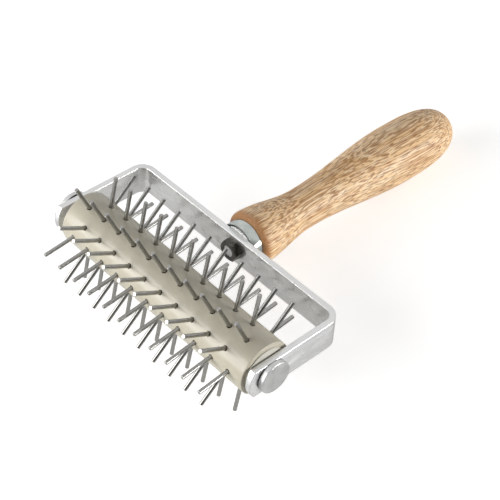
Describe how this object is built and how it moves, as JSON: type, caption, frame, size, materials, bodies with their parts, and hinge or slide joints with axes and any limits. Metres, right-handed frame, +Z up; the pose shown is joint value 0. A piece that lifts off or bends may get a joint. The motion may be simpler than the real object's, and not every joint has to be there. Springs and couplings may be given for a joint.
{
  "type": "dough docker",
  "caption": "Spiked roller that turns on an axle in a bent steel yoke, with a turned wooden handle, for pricking rolled-out dough.",
  "frame": {"origin": "on the table, under the middle of the object's outer box, as the tool lies", "axes": "+X along the axle, +Y from the axle towards the handle's butt, +Z up"},
  "size_m": [0.1456, 0.219, 0.0595],
  "materials": {
    "bar_steel": "polished satin",
    "turned_steel": "turned",
    "head_steel": "satin",
    "nut_steel": "plated",
    "ferrule_chrome": "bright",
    "handle_wood": "sanded and oiled",
    "roller_plastic": "moulded gloss",
    "bush_plastic": "moulded",
    "pin_steel": "drawn"
  },
  "bodies": {
    "frame": {"yoke": "bar_steel", "axle_rod": "turned_steel", "axle_head_right": "head_steel", "axle_head_left": "head_steel", "axle_spacer": "turned_steel", "tang_rod": "turned_steel", "tang_nut": "nut_steel", "tang_collar": "turned_steel", "ferrule": "ferrule_chrome", "handle": "handle_wood"},
    "roller": {"roller_body": "roller_plastic", "end_bush_right": "bush_plastic", "end_bush_left": "bush_plastic", "pin_row_1": "pin_steel", "pin_row_2": "pin_steel", "pin_row_3": "pin_steel", "pin_row_4": "pin_steel", "pin_row_5": "pin_steel", "pin_row_6": "pin_steel", "pin_row_7": "pin_steel", "pin_row_8": "pin_steel", "pin_row_9": "pin_steel", "pin_row_10": "pin_steel"}
  },
  "joints": [
    {"name": "roller_spin", "type": "hinge", "parent": "frame", "child": "roller", "pos_m": [0, -0.0791, 0.02976], "axis": [1, 0, 0], "continuous": true}
  ]
}
